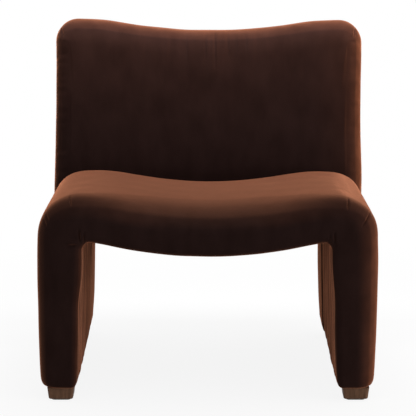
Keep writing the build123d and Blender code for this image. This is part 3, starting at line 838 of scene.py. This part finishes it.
class Graph:
    """A material with short ways to add and join its nodes."""

    def __init__(self, name, **sockets):
        self.material = bpy.data.materials.new(name)
        self.material.use_nodes = True
        self.tree = self.material.node_tree
        self.shader = self.tree.nodes["Principled BSDF"]
        for socket, value in sockets.items():
            self.feed(self.shader, socket.replace("_", " "), value)
        self.place = self.add("TexCoord").outputs["Object"]

    def feed(self, node, socket, value):
        """Join a node's output to a socket, or set the socket's own value."""
        if isinstance(value, bpy.types.NodeSocket):
            self.tree.links.new(value, node.inputs[socket])
        else:
            node.inputs[socket].default_value = value

    def add(self, kind, inputs=(), **settings):
        node = self.tree.nodes.new("ShaderNode" + kind)
        for name, value in settings.items():
            setattr(node, name, value)
        for socket, value in dict(inputs).items():
            self.feed(node, socket, value)
        return node

    def stretched(self, scale):
        return self.add("Mapping", {"Vector": self.place, "Scale": scale}).outputs[0]

    def noise(self, size, stretch=(1, 1, 1), detail=3.0):
        """Noise with features of about a size in metres, stretched by factors along the axes."""
        scale = [1 / (size * s) for s in stretch]
        inputs = {"Vector": self.stretched(scale), "Scale": 1.0, "Detail": detail}
        return self.add("TexNoise", inputs).outputs["Fac"]

    def ramp(self, factor, *stops):
        """A colour between two stops, each a position and a colour."""
        node = self.add("ValToRGB", {"Fac": factor})
        for element, (position, colour) in zip(node.color_ramp.elements, stops):
            element.position = position
            element.color = (*colour, 1)
        return node.outputs["Color"]

    def mix(self, factor, a, b):
        """A mix of two colours, which are sockets 6 and 7 of the node."""
        return self.add("Mix", {0: factor, 6: a, 7: b}, data_type="RGBA").outputs[2]

    def math(self, operation, a, b):
        return self.add("Math", {0: a, 1: b}, operation=operation).outputs[0]

    def colour(self, value):
        self.feed(self.shader, "Base Color", value)

    def bump(self, height, distance, strength):
        inputs = {"Height": height, "Distance": distance, "Strength": strength}
        self.feed(self.shader, "Normal", self.add("Bump", inputs).outputs[0])


# Materials

def velvet():
    """Short nap that is dark when faced and glows rust at a glance, with soft brushed marks; a light rust is
    painted where the points carry painted highlights, and a light brown is painted on the inner faces of the
    legs in place of their glow.
    """
    g = Graph("velvet", Roughness=0.85, Specular_IOR_Level=0.0, Sheen_Weight=1.0, Sheen_Roughness=0.32,
              Sheen_Tint=(0.88, 0.340, 0.182, 1))
    brushed = g.noise(0.030, (1.0, 1.0, 2.4), 4.0)
    pile_and_painted_light = g.noise(0.0016, detail=2.0)
    mixed = g.math("ADD", g.math("MULTIPLY", brushed, 0.75), g.math("MULTIPLY", pile_and_painted_light, 0.25))
    faced = g.ramp(mixed, (0.30, (0.0140, 0.0071, 0.0063)), (0.70, (0.0205, 0.0104, 0.0093)))
    # Light rust painted as highlights on the right edges, shoulders and top of the back, and used for the
    # brushed streaks
    brushed_and_painted_sheen = g.ramp(mixed, (0.30, (0.150, 0.046, 0.021)), (0.70, (0.250, 0.080, 0.038)))
    # Light brown painted on the inner faces of the legs, standing in for the glow they show at a glance
    painted_inside_light = g.ramp(mixed, (0.30, (0.044, 0.0225, 0.0165)), (0.70, (0.074, 0.038, 0.028)))
    painted_light_share = g.add("Attribute", attribute_name="pile_and_painted_light").outputs["Fac"]
    inside = g.add("Attribute", attribute_name="inside").outputs["Fac"]
    # The base colour takes the painted highlights and the painted light brown of the inner faces
    g.colour(g.mix(inside, g.mix(painted_light_share, faced, brushed_and_painted_sheen), painted_inside_light))
    g.bump(g.math("ADD", g.math("MULTIPLY", brushed, 0.6), pile_and_painted_light), 0.0005, 0.5)
    return g.material


def foot_wood():
    """Dark stained beech with a fine upright grain and a satin finish."""
    g = Graph("foot_wood", Specular_IOR_Level=0.12)
    grain = g.noise(0.004, (1, 1, 14), 5.0)
    flecks = g.noise(0.0014, (1, 1, 5), 2.0)
    tone = g.math("ADD", g.math("MULTIPLY", grain, 0.8), g.math("MULTIPLY", flecks, 0.2))
    g.colour(g.ramp(tone, (0.32, (0.086, 0.043, 0.023)), (0.68, (0.164, 0.084, 0.048))))
    g.feed(g.shader, "Roughness", g.math("ADD", g.math("MULTIPLY", grain, 0.2), 0.35))
    g.bump(tone, 0.0003, 0.5)
    return g.material


def plywood():
    """Sanded birch plywood with a faint flowing figure."""
    g = Graph("plywood", Roughness=0.6)
    figure = g.noise(0.020, (6, 1, 6), 4.0)
    g.colour(g.ramp(figure, (0.30, (0.50, 0.34, 0.18)), (0.70, (0.66, 0.49, 0.29))))
    g.bump(figure, 0.0003, 0.4)
    return g.material


def frame_timber():
    """Planed beech with flecks along the grain."""
    g = Graph("frame_timber", Roughness=0.55)
    fleck = g.noise(0.004, (1, 12, 1), 4.0)
    g.colour(g.ramp(fleck, (0.32, (0.40, 0.23, 0.10)), (0.68, (0.56, 0.36, 0.18))))
    g.bump(fleck, 0.0003, 0.4)
    return g.material


def hardboard():
    """Smooth brown board of pressed fibres."""
    g = Graph("hardboard", Roughness=0.5)
    fibres = g.noise(0.003, detail=5.0)
    g.colour(g.ramp(fibres, (0.30, (0.115, 0.056, 0.024)), (0.70, (0.190, 0.100, 0.046))))
    g.bump(fibres, 0.0002, 0.4)
    return g.material


def felt():
    """Pressed felt with tangled fibres."""
    g = Graph("felt", Roughness=0.95, Sheen_Weight=0.4, Sheen_Roughness=0.5)
    fibres = g.noise(0.0025, detail=6.0)
    g.colour(g.ramp(fibres, (0.30, (0.055, 0.048, 0.042)), (0.70, (0.105, 0.092, 0.082))))
    g.bump(fibres, 0.0006, 0.7)
    return g.material


def webbing():
    """Black elastic webbing with a ribbed weave."""
    g = Graph("webbing", Roughness=0.8)
    ribs = g.add("TexWave", {"Vector": g.place, "Scale": 90.0, "Distortion": 0.4}, bands_direction="Z")
    g.colour(g.ramp(ribs.outputs["Fac"], (0.2, (0.012, 0.012, 0.013)), (0.8, (0.034, 0.034, 0.036))))
    g.bump(ribs.outputs["Fac"], 0.0006, 0.7)
    return g.material


def metal(name, dark, light, roughness):
    """Plain metal with fine drawn marks."""
    g = Graph(name, Metallic=1.0)
    marks = g.noise(0.0012, (1, 8, 1), 4.0)
    g.colour(g.ramp(marks, (0.25, dark), (0.75, light)))
    g.feed(g.shader, "Roughness", g.math("ADD", g.math("MULTIPLY", marks, 0.2), roughness))
    g.bump(marks, 0.0001, 0.3)
    return g.material


def slot_materials():
    return {
        "velvet": velvet(),
        "foot_wood": foot_wood(),
        "plywood": plywood(),
        "frame_timber": frame_timber(),
        "hardboard": hardboard(),
        "felt": felt(),
        "webbing": webbing(),
        "spring_steel": metal("spring_steel", (0.10, 0.10, 0.11), (0.20, 0.20, 0.21), 0.35),
        "zinc_steel": metal("zinc_steel", (0.40, 0.40, 0.39), (0.58, 0.58, 0.56), 0.25),
        "brass": metal("brass", (0.42, 0.27, 0.07), (0.60, 0.41, 0.13), 0.25),
    }


# Pieces on the frame

seat_padding = ["seat_cover", "seat_tunnel_cover", "seat_wadding", "seat_foam", "seat_front_foam",
                "left_leg_foam", "right_leg_foam"]
back_padding = ["back_cover", "back_rear_cover", "back_wadding", "back_foam", "back_rear_foam",
                "left_back_side_foam", "right_back_side_foam"]


def dress(piece, replaced, material):
    """Put a padded piece in the place of its soft nodes."""
    piece.data.materials.append(material)
    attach(piece, "root")
    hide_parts(*replaced)


def finish_nodes(materials, replaced):
    """Give each node that stays in view the material of its slot."""
    for entry in frame["record"]["subparts"]:
        if entry["node"] not in replaced:
            mesh = frame["nodes"][entry["node"]].data
            mesh.materials.clear()
            mesh.materials.append(materials[entry["material_slot"]])


# Stage, light and camera

def floor():
    """A pale floor that looks white to the camera and keeps the chair's shadow."""
    size = 40.0
    mesh = bpy.data.meshes.new("floor")
    corners = [(-size, -size, 0), (size, -size, 0), (size, size, 0), (-size, size, 0)]
    mesh.from_pydata(corners, [], [(0, 1, 2, 3)])
    plane = bpy.data.objects.new("floor", mesh)
    bpy.context.scene.collection.objects.link(plane)
    g = Graph("floor", Roughness=0.9, Specular_IOR_Level=0.0)
    direct = seen_directly(g)
    g.colour(g.ramp(direct, (0.0, (0.7, 0.7, 0.7)), (1.0, (0.9, 0.9, 0.9))))
    white = g.add("Emission", {"Color": (1, 1, 1, 1), "Strength": 1.0}).outputs[0]
    away = g.add("VectorMath", {0: g.place}, operation="LENGTH").outputs["Value"]
    reach = {"Value": away, "From Min": 0.5, "From Max": 1.6, "To Min": 0.88, "To Max": 1.0}
    bare = g.add("MapRange", reach, interpolation_type="SMOOTHSTEP")
    share = g.math("MULTIPLY", direct, bare.outputs[0])
    mix = g.add("MixShader", {0: share, 1: g.shader.outputs[0], 2: white})
    g.tree.links.new(mix.outputs[0], g.tree.nodes["Material Output"].inputs["Surface"])
    mesh.materials.append(g.material)


def seen_directly(g):
    """1 for rays from the camera and for what metal and glass show, and otherwise 0."""
    path = g.add("LightPath").outputs
    either = g.math("MAXIMUM", path["Is Camera Ray"], path["Is Glossy Ray"])
    return g.math("MAXIMUM", either, path["Is Transmission Ray"])


class WorldGraph(Graph):
    """The world's nodes, with the same short ways."""

    def __init__(self, world):
        world.use_nodes = True
        self.tree = world.node_tree
        self.shader = self.tree.nodes["Background"]


def world_light(left, right):
    """A white studio that is brighter on the right, and plain white where it is seen."""
    world = bpy.data.worlds.new("studio")
    bpy.context.scene.world = world
    g = WorldGraph(world)
    direction = g.add("SeparateXYZ", {0: g.add("TexCoord").outputs["Generated"]}).outputs["X"]
    levels = {"Value": direction, "From Min": -1.0, "From Max": 1.0, "To Min": left, "To Max": right}
    level = g.add("MapRange", levels).outputs[0]
    direct = seen_directly(g)
    unseen = g.math("MULTIPLY", level, g.math("SUBTRACT", 1.0, direct))
    g.feed(g.shader, "Color", (1, 1, 1, 1))
    g.feed(g.shader, "Strength", g.math("ADD", direct, unseen))


def lamp(name, place, target, size, power, spread=180):
    """A soft rectangular lamp that faces a point, with light fanned out by an angle in degrees."""
    light = bpy.data.lights.new(name, "AREA")
    light.shape = "RECTANGLE"
    light.size, light.size_y = size
    light.energy = power
    light.spread = math.radians(spread)
    thing = bpy.data.objects.new(name, light)
    thing.location = place
    thing.rotation_euler = (Vector(target) - Vector(place)).to_track_quat("-Z", "Y").to_euler()
    bpy.context.scene.collection.objects.link(thing)


def studio():
    world_light(left=0.38, right=1.15)
    lamp("overhead", place=(0, 0.23, 1.05), target=(0, 0.28, 0.70), size=(0.90, 0.12), power=3.8, spread=120)
    lamp("right_low", place=(1.7, -0.5, 0.22), target=(0.3, 0, 0.22), size=(0.9, 0.36), power=7)


def camera():
    """The photograph's view: level from side to side, from a little above and far in front."""
    data = bpy.data.cameras.new("camera")
    data.sensor_width = camera_sensor
    data.lens = camera_lens
    view = bpy.data.objects.new("camera", data)
    view.location = camera_place
    view.rotation_euler = (math.radians(90 - camera_dip), 0, 0)
    bpy.context.scene.collection.objects.link(view)
    bpy.context.scene.camera = view


materials = slot_materials()
dress(seat_upholstery(), seat_padding, materials["velvet"])
dress(back_upholstery(), back_padding, materials["velvet"])
finish_nodes(materials, seat_padding + back_padding)
floor()
studio()
camera()
bpy.context.scene.view_settings.view_transform = "Standard"
